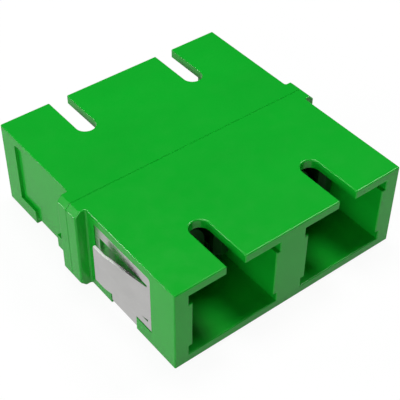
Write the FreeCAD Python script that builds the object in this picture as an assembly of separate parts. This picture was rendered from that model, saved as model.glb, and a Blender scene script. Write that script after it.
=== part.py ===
"""Duplex SC fibre adapter.

Two ports side by side join two pairs of SC plugs end to end. The housing is two mouldings welded at the
parting plane. Each port holds two latch inserts back to back, which trap a split alignment sleeve, and a
folded steel clip round the front half springs out against the panel.

Frame, in millimetres: X runs across the two ports, Y along the fibres with the front ports facing -Y,
and Z up. The origin is at the middle of the underside, and the fibre ends meet at y = 0.
"""

import FreeCAD, Part
import math
import os

Vector = FreeCAD.Vector
X_AXIS = Vector(1, 0, 0)
Y_AXIS = Vector(0, 1, 0)
Z_AXIS = Vector(0, 0, 1)

# Ports
PORT_PITCH = 12.7
PORT_HEIGHT = 7.4
RIB_GAP = 9.0
RIB_DEPTH = 0.4
RIB_HEIGHT = 5.3
KEYWAY_WIDTH = 2.0
KEYWAY_LENGTH = 5.85

# Housing walls and lengths
FRONT_LENGTH = 14.1
REAR_LENGTH = 13.1
FLOOR_WALL = 0.925
SIDE_WALL = 1.5
EDGE_ROUND = 0.13
PARTING_BEVEL = 0.06
PEG_DIAMETER = 1.3
PEG_LENGTH = 1.0
PEG_SPREAD = 4.6
PEG_CLEARANCE = 0.05
PEG_END_GAP = 0.2

# Side ears, one half on each moulding
EAR_REACH = 1.15
EAR_HALF_THICKNESS = 1.47
EAR_CHAMFER = 0.55
EAR_CORNER_ROUND = 0.2
EAR_ROOT_ROUND = 0.2

# Panel clip and the recess it lies in, measured from the parting plane
SHEET = 0.25
CLIP_SINK = 0.05
CLIP_CLEARANCE = 0.06
CLIP_BEND_RADIUS = 0.2
RECESS_START = 2.55
RECESS_LENGTH = 8.2
RECESS_HEIGHT = 6.75
RECESS_CORNER_ROUND = 0.35
LIP_HEIGHT = 1.6
FRONT_STRAP_START = 4.6
REAR_STRAP_START = 4.3
STRAP_NOTCH = 3.92
WINDOW_HEIGHT = 4.68
WINDOW_LOW_MARGIN = 0.87
WINDOW_START_MARGIN = 0.7
TONGUE_SLIT = 0.26
TONGUE_LENGTH = 6.65
TONGUE_FLAT = 1.45
TONGUE_SPREAD = 0.9

# Latch inserts
INSERT_CLEARANCE = 0.05
BASE_THICKNESS = 1.2
HOLDER_WALL = 0.65
HOLDER_LIP = 0.7
FERRULE_ENTRY_DIAMETER = 2.9
ENTRY_CHAMFER = 0.15
ARM_LENGTH = 6.5
ARM_HEIGHT = 3.4
ARM_THICKNESS = 0.8
ARM_FLEX_GAP = 0.4
HOOK_LENGTH = 1.1
HOOK_DEPTH = 0.5

# Split sleeves
FERRULE_DIAMETER = 2.5
SLEEVE_WALL = 0.35
SLEEVE_LENGTH = 11.4
SLEEVE_SLIT = 0.4
SLEEVE_RADIAL_CLEARANCE = 0.05
SLEEVE_END_CLEARANCE = 0.1

# Sizes that follow
PORT_WIDTH = RIB_GAP + 2 * RIB_DEPTH
WIDTH = PORT_PITCH + PORT_WIDTH + 2 * SIDE_WALL
HEIGHT = PORT_HEIGHT + 2 * FLOOR_WALL
PARTING_Y = (FRONT_LENGTH - REAR_LENGTH) / 2
PORT_Z = HEIGHT / 2
RECESS_DEPTH = SHEET + CLIP_SINK
SLEEVE_DIAMETER = FERRULE_DIAMETER + 2 * SLEEVE_WALL
HOLDER_BORE = SLEEVE_DIAMETER + 2 * SLEEVE_RADIAL_CLEARANCE
HOLDER_DIAMETER = HOLDER_BORE + 2 * HOLDER_WALL
PORTS = {"a": -PORT_PITCH / 2, "b": PORT_PITCH / 2}
CUT_PAST = 1.0


def block(x0, x1, y0, y1, z0, z1):
    """A box between two corners."""
    return Part.makeBox(x1 - x0, y1 - y0, z1 - z0, Vector(x0, y0, z0))


def rod(diameter, length, x, y, z, axis=Y_AXIS):
    """A cylinder that starts at a point and runs along an axis."""
    return Part.makeCylinder(diameter / 2, length, Vector(x, y, z), axis)


def prism(points, direction):
    """A closed outline of straight edges, pushed along a vector."""
    corners = [Vector(*point) for point in points]
    outline = Part.makePolygon(corners + corners[:1])
    return Part.Face(outline).extrude(direction)


def join(shapes):
    """One solid from several that overlap or touch."""
    return shapes[0].multiFuse(shapes[1:]).removeSplitter()


def pick_edges(shape, test):
    """The edges whose bounding box passes a test."""
    return [edge for edge in shape.Edges if test(edge.BoundBox)]


def near(a, b):
    """True when two lengths agree to a micrometre."""
    return abs(a - b) < 1e-3


def flat_at(low, high, place):
    """True when a range has no width and lies at a place."""
    return near(low, place) and near(high, place)


def mirrored_in_x(shape):
    """The same shape on the other side of the middle plane."""
    return shape.mirror(Vector(0, 0, 0), X_AXIS)


# ---------------------------------------------------------------- housing halves
# A half is made with its parting plane at y = 0 and its ports facing -Y.

def ear_outline(y):
    """The housing's section at the ears, with its outer corners cut off."""
    reach = WIDTH / 2 + EAR_REACH
    shoulder = reach - EAR_CHAMFER
    top = HEIGHT - EAR_CHAMFER
    right = [(shoulder, 0), (reach, EAR_CHAMFER), (reach, top), (shoulder, HEIGHT)]
    left = [(-x, z) for x, z in reversed(right)]
    return [(x, y, z) for x, z in right + left]


def outer_block(length):
    """The outside of a half: a block with half an ear on each side."""
    body = block(-WIDTH / 2, WIDTH / 2, -length, 0, 0, HEIGHT)
    ears = prism(ear_outline(-EAR_HALF_THICKNESS), Vector(0, EAR_HALF_THICKNESS, 0))
    outside = join([body, ears])
    ear_side = WIDTH / 2 + EAR_REACH

    def is_ear_corner(b):
        return flat_at(b.YMin, b.YMax, -EAR_HALF_THICKNESS) and (
            flat_at(b.XMin, b.XMax, ear_side) or flat_at(b.XMin, b.XMax, -ear_side))

    def is_ear_root(b):
        return flat_at(b.YMin, b.YMax, -EAR_HALF_THICKNESS) and (
            flat_at(b.XMin, b.XMax, WIDTH / 2) or flat_at(b.XMin, b.XMax, -WIDTH / 2))

    outside = outside.makeFillet(EAR_CORNER_ROUND, pick_edges(outside, is_ear_corner))
    return outside.makeFillet(EAR_ROOT_ROUND, pick_edges(outside, is_ear_root))


def port_cavity(x, length, rib_end):
    """The hollow of one port: ribbed from the mouth to the insert's seat, then full width."""
    half = PORT_WIDTH / 2
    gap = RIB_GAP / 2
    floor = PORT_Z - PORT_HEIGHT / 2
    roof = PORT_Z + PORT_HEIGHT / 2
    rib_low = PORT_Z - RIB_HEIGHT / 2
    rib_high = PORT_Z + RIB_HEIGHT / 2
    right = [(half, floor), (half, rib_low), (gap, rib_low),
             (gap, rib_high), (half, rib_high), (half, roof)]
    left = [(-u, z) for u, z in reversed(right)]
    mouth = -length - CUT_PAST
    outline = [(x + u, mouth, z) for u, z in right + left]
    ribbed = prism(outline, Vector(0, CUT_PAST - mouth, 0))
    seat = block(x - half, x + half, -rib_end, CUT_PAST, floor, roof)
    return join([ribbed, seat])


def keyway(x, length):
    """The slot through the roof that takes a plug's key, with a round inner end."""
    centre_y = -length + KEYWAY_LENGTH - KEYWAY_WIDTH / 2
    straight = block(x - KEYWAY_WIDTH / 2, x + KEYWAY_WIDTH / 2,
                     -length - CUT_PAST, centre_y, PORT_Z, HEIGHT + CUT_PAST)
    end = rod(KEYWAY_WIDTH, HEIGHT + CUT_PAST - PORT_Z, x, centre_y, PORT_Z, Z_AXIS)
    return join([straight, end])


def clip_recess():
    """The shallow pocket in the right side wall that the clip's side plate lies in."""
    floor_x = WIDTH / 2 - RECESS_DEPTH
    pocket = block(floor_x, WIDTH / 2 + CUT_PAST, -RECESS_START - RECESS_LENGTH, -RECESS_START,
                   LIP_HEIGHT, LIP_HEIGHT + RECESS_HEIGHT)

    def is_far_top_corner(b):
        return (flat_at(b.YMin, b.YMax, -RECESS_START - RECESS_LENGTH)
                and flat_at(b.ZMin, b.ZMax, LIP_HEIGHT + RECESS_HEIGHT))

    return pocket.makeFillet(RECESS_CORNER_ROUND, pick_edges(pocket, is_far_top_corner))


def strap_groove(start):
    """The channel that takes the clip's strap down both sides and across the underside."""
    near_y = -start
    far_y = near_y - STRAP_NOTCH
    side = WIDTH / 2 + CUT_PAST
    around = block(-side, side, far_y, near_y, -CUT_PAST, LIP_HEIGHT)
    core_side = WIDTH / 2 - RECESS_DEPTH
    core = block(-core_side, core_side, far_y, near_y, RECESS_DEPTH, LIP_HEIGHT)

    def is_lower_corner(b):
        at_a_side = near(abs(b.XMin), core_side) and near(b.XMin, b.XMax)
        return at_a_side and flat_at(b.ZMin, b.ZMax, RECESS_DEPTH)

    rounded = core.makeFillet(CLIP_BEND_RADIUS + CLIP_CLEARANCE, pick_edges(core, is_lower_corner))
    return around.cut(rounded)


def bevel_parting_edges(half):
    """Breaks the outside edges at the parting plane, so that the joint shows as a fine groove."""
    def is_outside_edge(b):
        outside = (near(b.ZMin, HEIGHT) or near(b.ZMax, 0) or max(abs(b.XMin), abs(b.XMax)) > WIDTH / 2)
        return flat_at(b.YMin, b.YMax, 0) and outside

    return half.makeChamfer(PARTING_BEVEL, pick_edges(half, is_outside_edge))


def round_outside_edges(half, length):
    """Takes the sharpness off the end face, the top, the underside and the keyways."""
    def is_end_face_edge(b):
        return flat_at(b.YMin, b.YMax, -length)

    def is_long_edge(b):
        along = b.YMax - b.YMin > EAR_HALF_THICKNESS / 2
        corner = near(abs(b.XMin), WIDTH / 2) and near(b.XMin, b.XMax)
        level = flat_at(b.ZMin, b.ZMax, HEIGHT) or flat_at(b.ZMin, b.ZMax, 0)
        return along and corner and level

    def is_end_corner(b):
        upright = flat_at(b.XMin, b.XMax, WIDTH / 2) or flat_at(b.XMin, b.XMax, -WIDTH / 2)
        return upright and flat_at(b.YMin, b.YMax, -length)

    def is_keyway_edge(b):
        inside = max(abs(b.XMin), abs(b.XMax)) < WIDTH / 2 - SIDE_WALL
        return flat_at(b.ZMin, b.ZMax, HEIGHT) and inside

    def is_ear_edge(b):
        outside = min(abs(b.XMin), abs(b.XMax)) > WIDTH / 2 + EAR_ROOT_ROUND
        return outside and b.YMax - b.YMin > EAR_HALF_THICKNESS / 2

    def is_chosen(b):
        return (is_end_face_edge(b) or is_long_edge(b) or is_end_corner(b) or is_keyway_edge(b)
                or is_ear_edge(b))

    return half.makeFillet(EDGE_ROUND, pick_edges(half, is_chosen))


def housing_half(length, insert_plane, strap_start):
    """One moulding. insert_plane is how far inside the half the two inserts meet."""
    rib_end = insert_plane + BASE_THICKNESS + INSERT_CLEARANCE
    half = bevel_parting_edges(outer_block(length))
    recess = clip_recess()
    cuts = [recess, mirrored_in_x(recess), strap_groove(strap_start)]
    for x in PORTS.values():
        cuts.append(port_cavity(x, length, rib_end))
        cuts.append(keyway(x, length))
    for cut in cuts:
        half = half.cut(cut)
    return round_outside_edges(half.removeSplitter(), length)


def peg_heights():
    """The two locating pegs lie one above the other in the wall between the ports."""
    return [PORT_Z - PEG_SPREAD / 2, PORT_Z + PEG_SPREAD / 2]


def housing_front():
    """The half that carries the clip, with the locating pegs."""
    half = housing_half(FRONT_LENGTH, PARTING_Y, FRONT_STRAP_START)
    pegs = [rod(PEG_DIAMETER, PEG_LENGTH + CUT_PAST, 0, -CUT_PAST, z) for z in peg_heights()]
    return at_parting_plane(join([half] + pegs))


def housing_rear():
    """The other half, with holes for the pegs."""
    half = housing_half(REAR_LENGTH, -PARTING_Y, REAR_STRAP_START)
    for z in peg_heights():
        depth = PEG_LENGTH + PEG_END_GAP
        half = half.cut(rod(PEG_DIAMETER + 2 * PEG_CLEARANCE, depth + CUT_PAST, 0, -depth, z))
    return at_parting_plane(half.mirror(Vector(0, 0, 0), Y_AXIS))


def at_parting_plane(shape):
    """Moves a shape that was made with the parting plane at y = 0 to its place in the adapter."""
    moved = shape.copy()
    moved.translate(Vector(0, PARTING_Y, 0))
    return moved


# ---------------------------------------------------------------- panel clip

def plate_face_x():
    """Where the clip's side plate has its outer face."""
    return WIDTH / 2 - CLIP_SINK


def window_range():
    """Low and high edge of the window that the tongue is cut from."""
    low = LIP_HEIGHT + CLIP_CLEARANCE + WINDOW_LOW_MARGIN
    return low, low + WINDOW_HEIGHT


def side_plate():
    """The right side plate, flat, with the window for its tongue."""
    outer = plate_face_x()
    inner = outer - SHEET
    far_y = -RECESS_START - RECESS_LENGTH + CLIP_CLEARANCE
    near_y = -RECESS_START - CLIP_CLEARANCE
    low = LIP_HEIGHT + CLIP_CLEARANCE
    high = LIP_HEIGHT + RECESS_HEIGHT - CLIP_CLEARANCE
    plate = block(inner, outer, far_y, near_y, low, high)

    def is_far_top_corner(b):
        return flat_at(b.YMin, b.YMax, far_y) and flat_at(b.ZMin, b.ZMax, high)

    plate = plate.makeFillet(RECESS_CORNER_ROUND, pick_edges(plate, is_far_top_corner))
    window_low, window_high = window_range()
    window_near = near_y - WINDOW_START_MARGIN
    window = block(inner - CUT_PAST, outer + CUT_PAST, window_near - TONGUE_SLIT - TONGUE_LENGTH,
                   window_near, window_low, window_high)
    return plate.cut(window)


def tongue():
    """The right tongue: it leaves the plate at its root, leans out and ends in a flat."""
    window_low, window_high = window_range()
    low = window_low + TONGUE_SLIT
    height = window_high - TONGUE_SLIT - low
    tip_y = -RECESS_START - CLIP_CLEARANCE - WINDOW_START_MARGIN - TONGUE_SLIT
    root_y = tip_y - TONGUE_LENGTH
    knee_y = tip_y - TONGUE_FLAT
    outer = plate_face_x()
    lean = math.atan2(TONGUE_SPREAD, knee_y - root_y)
    back = SHEET * math.tan(lean / 2)
    outline = [
        (outer, root_y, low),
        (outer, root_y + back, low),
        (outer + TONGUE_SPREAD, knee_y + back, low),
        (outer + TONGUE_SPREAD, tip_y, low),
        (outer + TONGUE_SPREAD - SHEET, tip_y, low),
        (outer + TONGUE_SPREAD - SHEET, knee_y, low),
        (outer - SHEET, root_y, low),
    ]
    return prism(outline, Vector(0, 0, height))


def strap_blank():
    """The U of the strap: both legs and the run under the floor, with round bends."""
    far_y = -FRONT_STRAP_START - STRAP_NOTCH + CLIP_CLEARANCE
    near_y = -FRONT_STRAP_START - CLIP_CLEARANCE
    outer_x = plate_face_x()
    inner_x = outer_x - SHEET
    top = LIP_HEIGHT + CLIP_CLEARANCE
    outside = block(-outer_x, outer_x, far_y, near_y, CLIP_SINK, top)
    inside = block(-inner_x, inner_x, far_y, near_y, CLIP_SINK + SHEET, top + CUT_PAST)

    def bends(shape, x, z):
        return pick_edges(shape, lambda b: flat_at(b.ZMin, b.ZMax, z) and near(abs(b.XMin), x)
                          and near(b.XMin, b.XMax))

    outside = outside.makeFillet(CLIP_BEND_RADIUS + SHEET, bends(outside, outer_x, CLIP_SINK))
    inside = inside.makeFillet(CLIP_BEND_RADIUS, bends(inside, inner_x, CLIP_SINK + SHEET))
    return outside.cut(inside)


def retaining_clip():
    """The folded sheet: strap, two side plates and two tongues, all one piece."""
    right = join([side_plate(), tongue()])
    return at_parting_plane(join([strap_blank(), right, mirrored_in_x(right)]))


# ---------------------------------------------------------------- latch inserts and sleeves
# An insert is made with its base on y = 0, pointing to -Y, on the port's axis.

def sleeve_holder():
    """The tube that holds half a sleeve, and the bores that leave a lip at its mouth."""
    pocket = SLEEVE_LENGTH / 2 + SLEEVE_END_CLEARANCE
    length = pocket + HOLDER_LIP
    tube = rod(HOLDER_DIAMETER, length, 0, -length, 0)
    mouth = FERRULE_ENTRY_DIAMETER / 2
    sleeve_bore = rod(HOLDER_BORE, pocket + CUT_PAST, 0, -pocket, 0)
    entry_bore = rod(FERRULE_ENTRY_DIAMETER, length + CUT_PAST, 0, -length, 0)
    entry_cone = Part.makeCone(mouth + ENTRY_CHAMFER, mouth, ENTRY_CHAMFER, Vector(0, -length, 0), Y_AXIS)
    return tube, [sleeve_bore, entry_bore, entry_cone]


def hook_arm():
    """The right arm: a bar along the port's side with a hook that points to the axis."""
    outer = RIB_GAP / 2 - ARM_FLEX_GAP
    inner = outer - ARM_THICKNESS
    tip = -BASE_THICKNESS - ARM_LENGTH
    low = -ARM_HEIGHT / 2
    outline = [
        (outer, 0, low),
        (outer, tip, low),
        (inner, tip, low),
        (inner - HOOK_DEPTH, tip + HOOK_LENGTH / 2, low),
        (inner - HOOK_DEPTH, tip + HOOK_LENGTH, low),
        (inner, tip + HOOK_LENGTH, low),
        (inner, 0, low),
    ]
    return prism(outline, Vector(0, 0, ARM_HEIGHT))


def latch_insert():
    """Base plate, half of the sleeve holder and the two hook arms, one moulding."""
    half_width = PORT_WIDTH / 2 - INSERT_CLEARANCE
    half_height = PORT_HEIGHT / 2 - INSERT_CLEARANCE
    base = block(-half_width, half_width, -BASE_THICKNESS, 0, -half_height, half_height)
    tube, bores = sleeve_holder()
    arm = hook_arm()
    insert = join([base, tube, arm, mirrored_in_x(arm)])
    for bore in bores:
        insert = insert.cut(bore)
    return insert


def split_sleeve():
    """The alignment sleeve, slit along its top."""
    start = -SLEEVE_LENGTH / 2
    sleeve = rod(SLEEVE_DIAMETER, SLEEVE_LENGTH, 0, start, 0)
    sleeve = sleeve.cut(rod(FERRULE_DIAMETER, SLEEVE_LENGTH + 2 * CUT_PAST, 0, start - CUT_PAST, 0))
    slit = block(-SLEEVE_SLIT / 2, SLEEVE_SLIT / 2, start - CUT_PAST, -start + CUT_PAST, 0, SLEEVE_DIAMETER)
    return sleeve.cut(slit)


def in_port(shape, x):
    """Moves a shape made on the port's axis into a port."""
    moved = shape.copy()
    moved.translate(Vector(x, 0, PORT_Z))
    return moved


def all_pieces():
    """Every piece of the adapter by name, in its place."""
    pieces = {
        "housing_front": housing_front(),
        "housing_rear": housing_rear(),
        "retaining_clip": retaining_clip(),
    }
    front_insert = latch_insert()
    rear_insert = front_insert.mirror(Vector(0, 0, 0), Y_AXIS)
    sleeve = split_sleeve()
    for port, x in PORTS.items():
        pieces["latch_insert_front_" + port] = in_port(front_insert, x)
        pieces["latch_insert_rear_" + port] = in_port(rear_insert, x)
        pieces["split_sleeve_" + port] = in_port(sleeve, x)
    return pieces


os.makedirs("parts", exist_ok=True)
for name, shape in all_pieces().items():
    solid = shape.Solids[0]
    print(name, len(shape.Solids), "solid", shape.isValid(), round(shape.Volume, 2), "mm3")
    solid.exportStep("parts/" + name + ".step")
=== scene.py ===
import bpy
import math
from typing import NamedTuple
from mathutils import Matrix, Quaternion, Vector


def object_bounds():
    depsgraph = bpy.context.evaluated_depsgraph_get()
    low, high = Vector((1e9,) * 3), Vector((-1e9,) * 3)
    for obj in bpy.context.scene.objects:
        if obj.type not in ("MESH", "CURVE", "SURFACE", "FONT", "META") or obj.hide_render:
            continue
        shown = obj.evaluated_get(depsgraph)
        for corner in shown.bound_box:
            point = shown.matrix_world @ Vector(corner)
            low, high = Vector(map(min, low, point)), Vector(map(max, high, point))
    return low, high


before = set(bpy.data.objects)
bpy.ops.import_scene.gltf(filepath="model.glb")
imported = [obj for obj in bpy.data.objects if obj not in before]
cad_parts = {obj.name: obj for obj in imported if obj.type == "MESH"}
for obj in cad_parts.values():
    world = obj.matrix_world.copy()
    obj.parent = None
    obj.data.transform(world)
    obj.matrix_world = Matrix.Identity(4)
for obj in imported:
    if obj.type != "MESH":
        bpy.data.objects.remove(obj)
cad_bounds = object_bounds()

MM = 0.001


class Grain(NamedTuple):
    """A noise: its features per millimetre along each axis, its octaves and the weight of the fine ones."""
    scale: tuple
    detail: float
    roughness: float = 0.5


class Lamp(NamedTuple):
    """A square lamp: its place (degrees), its width (metres) and the level it gives a white face."""
    name: str
    azimuth: float
    elevation: float
    size: float
    level: float


# Camera. Angles are in degrees, lengths in metres and the lens in millimetres.
CAMERA_AZIMUTH = 38.50
CAMERA_ELEVATION = 43.28
CAMERA_ROLL = 0.63
CAMERA_DISTANCE = 97.38 * MM
CAMERA_TARGET = Vector((-0.37, -1.17, 3.41)) * MM
CAMERA_LENS = 92.12
CAMERA_NEAR = 1 * MM
CAMERA_FAR = 10.0

# Most of a noise lies between these values.
NOISE_LOW = 0.3
NOISE_HIGH = 0.7

# Plastic. Colours are linear.
HOUSING_GREEN = (0.0045, 0.435, 0.023)
HOUSING_ROUGHNESS = 0.22
# A dark green that paints the shade deep inside the ports onto the insert, in place of its moulding colour.
INSERT_SHADED_GREEN = (0.002, 0.065, 0.007)
INSERT_ROUGHNESS = 0.42
PLASTIC_IOR = 1.5
PLASTIC_FLOW = Grain((0.10, 0.16, 0.10), 2.0)
PLASTIC_FLOW_TINT = 0.03
PLASTIC_GLOSS = Grain((0.7, 0.7, 0.7), 3.0)
PLASTIC_GLOSS_SPREAD = 0.03
PLASTIC_EROSION = Grain((9.0, 9.0, 9.0), 3.0, 0.6)
PLASTIC_EROSION_STRENGTH = 0.10
PLASTIC_EROSION_HEIGHT = 0.01 * MM

# Sheet steel
STEEL = (0.90, 0.895, 0.88)
STEEL_ROUGHNESS = 0.22
STEEL_LINES = Grain((28.0, 0.5, 28.0), 4.0, 0.6)
STEEL_LINE_SPREAD = 0.06
STEEL_LINE_STRENGTH = 0.25
STEEL_LINE_HEIGHT = 0.008 * MM
STEEL_SMUDGE = Grain((0.5, 0.35, 0.5), 2.0)
STEEL_SMUDGE_TINT = 0.04

# The burr on the cut upper edge of a tongue: a duller cut edge, and also a painted highlight, pale and hardly
# metallic, where that edge catches the light. It lies only on faces that look up, and fades in over a stretch
# that is measured across the adapter, back from how far out the tongue's free end stands.
BURR_HIGHLIGHT_STEEL = (0.90, 0.90, 0.89)
BURR_HIGHLIGHT_ROUGHNESS = 0.3
BURR_HIGHLIGHT_METALLIC = 0.2
BURR_HIGHLIGHT_FROM = 0.60 * MM
BURR_HIGHLIGHT_FULL = 0.20 * MM
UPWARD_FROM = 0.5
UPWARD_FULL = 0.8

# Zirconia
CERAMIC = (0.80, 0.79, 0.74)
CERAMIC_IOR = 2.1
CERAMIC_CLOUD = Grain((0.8, 0.8, 0.8), 3.0)
CERAMIC_DARK = 0.95
CERAMIC_LIGHT = 1.03
CERAMIC_GRIND = Grain((14.0, 1.5, 14.0), 3.0)
CERAMIC_SMOOTH = 0.12
CERAMIC_ROUGH = 0.2
CERAMIC_GRIND_STRENGTH = 0.08
CERAMIC_GRIND_HEIGHT = 0.004 * MM

# Floor. The camera sees a share of it as plain white and the rest lit, and reflections see a glow.
WHITE = (1.0, 1.0, 1.0)
FLOOR_HALF = 1.2
FLOOR_COLOUR = (0.80, 0.80, 0.80)
FLOOR_WHITE = 1.03
FLOOR_WHITE_SHARE = 0.90
FLOOR_GLOW = 0.51

# World. It has one level for the camera, and for the object it fades from the horizon to the ceiling
# between two sines of elevation.
WORLD_SEEN = 0.93
WORLD_HORIZON = 0.08
WORLD_CEILING = 0.01
HORIZON_TOP = 0.05
CEILING_START = 0.40

# Lamps, all at one distance from the adapter
LAMP_DISTANCE = 0.32
LAMPS = [
    Lamp("left", 90, 50, 0.08, 0.16),
    Lamp("left_front", 60, 18, 0.14, 0.26),  # low, so that it reaches the walls inside the ports
    Lamp("left_rear", 126, 12, 0.04, 0.22),  # small, for the thin bright lines on the edges
    Lamp("right", -90, 55, 0.10, 0.35),
    Lamp("high", -162, 75, 0.10, 0.46),
]


class Nodes:
    """A short way to write a node tree: add nodes, set their sockets and join them."""

    def __init__(self, tree):
        self.tree = tree
        tree.nodes.clear()

    def add(self, kind, inputs, **settings):
        """A node of a kind. Each input is a value, or the output socket that feeds it."""
        node = self.tree.nodes.new(kind)
        for key, value in settings.items():
            setattr(node, key, value)
        for key, value in inputs.items():
            if isinstance(value, bpy.types.NodeSocket):
                self.tree.links.new(value, node.inputs[key])
            else:
                node.inputs[key].default_value = value
        return node

    def ramp(self, value, start, end, low, high, **settings):
        """A value between start and end, turned into one between low and high."""
        ends = {"From Min": start, "From Max": end, "To Min": low, "To Max": high}
        return self.add("ShaderNodeMapRange", {"Value": value, **ends}, **settings).outputs["Result"]

    def calculate(self, operation, *values):
        """The result of an operation on values or sockets."""
        return self.add("ShaderNodeMath", dict(enumerate(values)), operation=operation).outputs[0]

    def blend(self, factor, first, second):
        """A colour between two, each given as four numbers or as a socket."""
        ends = {"Factor": factor, "A": first, "B": second}
        return self.add("ShaderNodeMix", ends, data_type="RGBA").outputs["Result"]

    def noise(self, grain):
        """The value of a noise that is fixed to the piece."""
        coordinates = self.add("ShaderNodeTexCoord", {})
        per_metre = tuple(s / MM for s in grain.scale)
        stretched = self.add("ShaderNodeMapping", {
            "Vector": coordinates.outputs["Object"], "Scale": per_metre})
        return self.add("ShaderNodeTexNoise", {
            "Vector": stretched.outputs["Vector"], "Scale": 1.0,
            "Detail": grain.detail, "Roughness": grain.roughness}).outputs["Fac"]

    def spread(self, noise, low, high):
        """A noise spread between two values."""
        return self.ramp(noise, NOISE_LOW, NOISE_HIGH, low, high)

    def tinted(self, noise, rgb, dark, light):
        """A colour that wanders between a darker and a lighter shade with a noise."""
        return self.blend(self.spread(noise, 0.0, 1.0), shade(rgb, dark), shade(rgb, light))

    def bump(self, height, strength, distance):
        """The normal of a fine relief."""
        relief = {"Height": height, "Strength": strength, "Distance": distance}
        return self.add("ShaderNodeBump", relief).outputs["Normal"]

    def finish_surface(self, **inputs):
        """The principled surface and the material output, from socket names with _ for each space."""
        sockets = {key.replace("_", " "): value for key, value in inputs.items()}
        surface = self.add("ShaderNodeBsdfPrincipled", sockets)
        self.add("ShaderNodeOutputMaterial", {"Surface": surface.outputs["BSDF"]})


def colour(rgb):
    """An RGB triple as the four numbers that a colour socket takes."""
    return (*rgb, 1.0)


def shade(rgb, factor):
    """An RGB triple made lighter or darker, as a colour socket takes it."""
    return colour(min(1.0, c * factor) for c in rgb)


def new_material(name):
    """An empty node material and the writer for its tree."""
    material = bpy.data.materials.new(name)
    material.use_nodes = True
    return material, Nodes(material.node_tree)


def moulded_plastic(name, rgb, roughness):
    """Thermoplastic straight from the mould: faint flow shading, a fine eroded grain and a satin gloss."""
    material, nodes = new_material(name)
    flow = nodes.noise(PLASTIC_FLOW)
    erosion = nodes.noise(PLASTIC_EROSION)
    gloss = nodes.noise(PLASTIC_GLOSS)
    nodes.finish_surface(
        Base_Color=nodes.tinted(flow, rgb, 1.0 - PLASTIC_FLOW_TINT, 1.0 + PLASTIC_FLOW_TINT),
        Roughness=nodes.spread(gloss, roughness - PLASTIC_GLOSS_SPREAD, roughness + PLASTIC_GLOSS_SPREAD),
        Normal=nodes.bump(erosion, PLASTIC_EROSION_STRENGTH, PLASTIC_EROSION_HEIGHT),
        IOR=PLASTIC_IOR)
    return material


def clip_reach():
    """How far the tongues' free ends stand out from the middle plane."""
    return max(abs(vertex.co.x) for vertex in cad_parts["retaining_clip"].data.vertices)


def burr_highlight_share(nodes):
    """1 on the cut upper edge of a tongue near its free end, where the burr and its painted highlight lie, 0
    elsewhere.
    """
    coordinates = nodes.add("ShaderNodeTexCoord", {})
    normal = nodes.add("ShaderNodeSeparateXYZ", {"Vector": coordinates.outputs["Normal"]})
    point = nodes.add("ShaderNodeSeparateXYZ", {"Vector": coordinates.outputs["Object"]})
    upward = nodes.ramp(normal.outputs["Z"], UPWARD_FROM, UPWARD_FULL, 0.0, 1.0)
    outward = nodes.calculate("ABSOLUTE", point.outputs["X"])
    reach = clip_reach()
    clear = nodes.ramp(outward, reach - BURR_HIGHLIGHT_FROM, reach - BURR_HIGHLIGHT_FULL, 0.0, 1.0)
    return nodes.calculate("MULTIPLY", upward, clear)


def rolled_steel(name):
    """Bright rolled sheet: fine lines along Y, and a pale, dull burr on the tongues' upper edges that also
    paints their highlight.
    """
    material, nodes = new_material(name)
    lines = nodes.noise(STEEL_LINES)
    smudge = nodes.noise(STEEL_SMUDGE)
    # The burr's share, which also places the painted highlight on the tongues' upper edges.
    burr = burr_highlight_share(nodes)
    sheet = nodes.tinted(smudge, STEEL, 1.0 - STEEL_SMUDGE_TINT, 1.0 + STEEL_SMUDGE_TINT)
    polish = nodes.spread(lines, STEEL_ROUGHNESS - STEEL_LINE_SPREAD, STEEL_ROUGHNESS + STEEL_LINE_SPREAD)
    nodes.finish_surface(
        Base_Color=nodes.blend(burr, sheet, colour(BURR_HIGHLIGHT_STEEL)),
        Roughness=nodes.ramp(burr, 0.0, 1.0, polish, BURR_HIGHLIGHT_ROUGHNESS),
        Normal=nodes.bump(lines, STEEL_LINE_STRENGTH, STEEL_LINE_HEIGHT),
        Metallic=nodes.ramp(burr, 0.0, 1.0, 1.0, BURR_HIGHLIGHT_METALLIC))
    return material


def polished_ceramic(name):
    """Ground and polished zirconia: warm white, glossy and faintly clouded."""
    material, nodes = new_material(name)
    cloud = nodes.noise(CERAMIC_CLOUD)
    grind = nodes.noise(CERAMIC_GRIND)
    nodes.finish_surface(
        Base_Color=nodes.tinted(cloud, CERAMIC, CERAMIC_DARK, CERAMIC_LIGHT),
        Roughness=nodes.spread(grind, CERAMIC_SMOOTH, CERAMIC_ROUGH),
        Normal=nodes.bump(grind, CERAMIC_GRIND_STRENGTH, CERAMIC_GRIND_HEIGHT),
        IOR=CERAMIC_IOR)
    return material


def paint(prefix, material):
    """Gives a material to every CAD node whose name starts with a prefix."""
    for name in sorted(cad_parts):
        if name.startswith(prefix):
            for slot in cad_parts[name].material_slots:
                slot.material = material


def dress_adapter():
    """Every CAD node keeps its shape and gets its finish."""
    paint("housing", moulded_plastic("housing_green", HOUSING_GREEN, HOUSING_ROUGHNESS))
    paint("latch_insert", moulded_plastic("insert_shaded_green", INSERT_SHADED_GREEN, INSERT_ROUGHNESS))
    paint("retaining_clip", rolled_steel("clip_steel"))
    paint("split_sleeve", polished_ceramic("sleeve_ceramic"))


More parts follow.
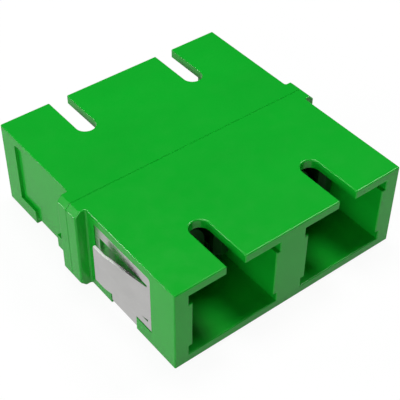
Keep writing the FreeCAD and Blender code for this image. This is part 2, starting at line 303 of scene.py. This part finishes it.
def floor_material():
    """A pale floor. It is nearly white to the camera, keeps the shadow, and reflects as a soft glow."""
    material, nodes = new_material("floor_white")
    path = nodes.add("ShaderNodeLightPath", {})
    seen = nodes.calculate("MAXIMUM", path.outputs["Is Camera Ray"], path.outputs["Is Transmission Ray"])
    share = nodes.calculate("MULTIPLY", seen, FLOOR_WHITE_SHARE)
    matte = nodes.add("ShaderNodeBsdfDiffuse", {"Color": colour(FLOOR_COLOUR)})
    white = nodes.add("ShaderNodeEmission", {"Color": colour(WHITE), "Strength": FLOOR_WHITE})
    glow = nodes.add("ShaderNodeEmission", {"Color": colour(WHITE), "Strength": FLOOR_GLOW})
    floor = nodes.add("ShaderNodeMixShader", {0: share, 1: matte.outputs[0], 2: white.outputs[0]})
    mix = nodes.add("ShaderNodeMixShader", {
        0: path.outputs["Is Glossy Ray"], 1: floor.outputs[0], 2: glow.outputs[0]})
    nodes.add("ShaderNodeOutputMaterial", {"Surface": mix.outputs[0]})
    return material


def link_new(name, data):
    """A new object in the scene."""
    item = bpy.data.objects.new(name, data)
    bpy.context.scene.collection.objects.link(item)
    return item


def make_floor():
    """A wide square floor at the height the adapter stands on."""
    mesh = bpy.data.meshes.new("floor")
    corners = [(x * FLOOR_HALF, y * FLOOR_HALF, 0) for x, y in ((-1, -1), (1, -1), (1, 1), (-1, 1))]
    mesh.from_pydata(corners, [], [(0, 1, 2, 3)])
    mesh.materials.append(floor_material())
    floor = link_new("floor", mesh)
    floor.location.z = cad_bounds[0].z


def make_world():
    """A studio: pale to the camera, and for the object a dim glow that is strongest at the horizon."""
    world = bpy.data.worlds.new("studio")
    world.use_nodes = True
    bpy.context.scene.world = world
    nodes = Nodes(world.node_tree)
    direction = nodes.add("ShaderNodeTexCoord", {})
    axes = nodes.add("ShaderNodeSeparateXYZ", {"Vector": direction.outputs["Generated"]})
    level = nodes.ramp(axes.outputs["Z"], HORIZON_TOP, CEILING_START, WORLD_HORIZON, WORLD_CEILING,
                       interpolation_type="SMOOTHSTEP")
    path = nodes.add("ShaderNodeLightPath", {})
    seen = nodes.calculate("MULTIPLY", path.outputs["Is Camera Ray"], WORLD_SEEN)
    strength = nodes.calculate("MAXIMUM", level, seen)
    background = nodes.add("ShaderNodeBackground", {"Color": colour(WHITE), "Strength": strength})
    nodes.add("ShaderNodeOutputWorld", {"Surface": background.outputs[0]})


def direction_towards(azimuth, elevation):
    """The direction from the adapter towards one who looks at it along that azimuth and elevation."""
    a = math.radians(azimuth)
    e = math.radians(elevation)
    return Vector((-math.sin(a) * math.cos(e), -math.cos(a) * math.cos(e), math.sin(e)))


def place(item, away, distance, roll=0.0):
    """Puts a camera or lamp at a distance from the adapter, aimed at it and rolled by an angle in degrees."""
    item.rotation_mode = "QUATERNION"
    turn = Quaternion((0, 0, 1), math.radians(roll))
    item.rotation_quaternion = (-away).to_track_quat("-Z", "Y") @ turn
    item.location = CAMERA_TARGET + away * distance


def make_lamp(lamp):
    """A square soft lamp aimed at the adapter."""
    data = bpy.data.lights.new(lamp.name, "AREA")
    data.shape = "SQUARE"
    data.size = lamp.size
    data.energy = lamp.level * (math.pi * LAMP_DISTANCE) ** 2
    place(link_new(lamp.name, data), direction_towards(lamp.azimuth, lamp.elevation), LAMP_DISTANCE)


def make_camera():
    """The camera at the photographed viewing angle."""
    data = bpy.data.cameras.new("camera")
    data.lens = CAMERA_LENS
    data.clip_start = CAMERA_NEAR
    data.clip_end = CAMERA_FAR
    camera = link_new("camera", data)
    place(camera, direction_towards(CAMERA_AZIMUTH, CAMERA_ELEVATION), CAMERA_DISTANCE, CAMERA_ROLL)
    bpy.context.scene.camera = camera


make_camera()
dress_adapter()
make_floor()
make_world()
for lamp in LAMPS:
    make_lamp(lamp)
bpy.context.scene.view_settings.view_transform = "Standard"
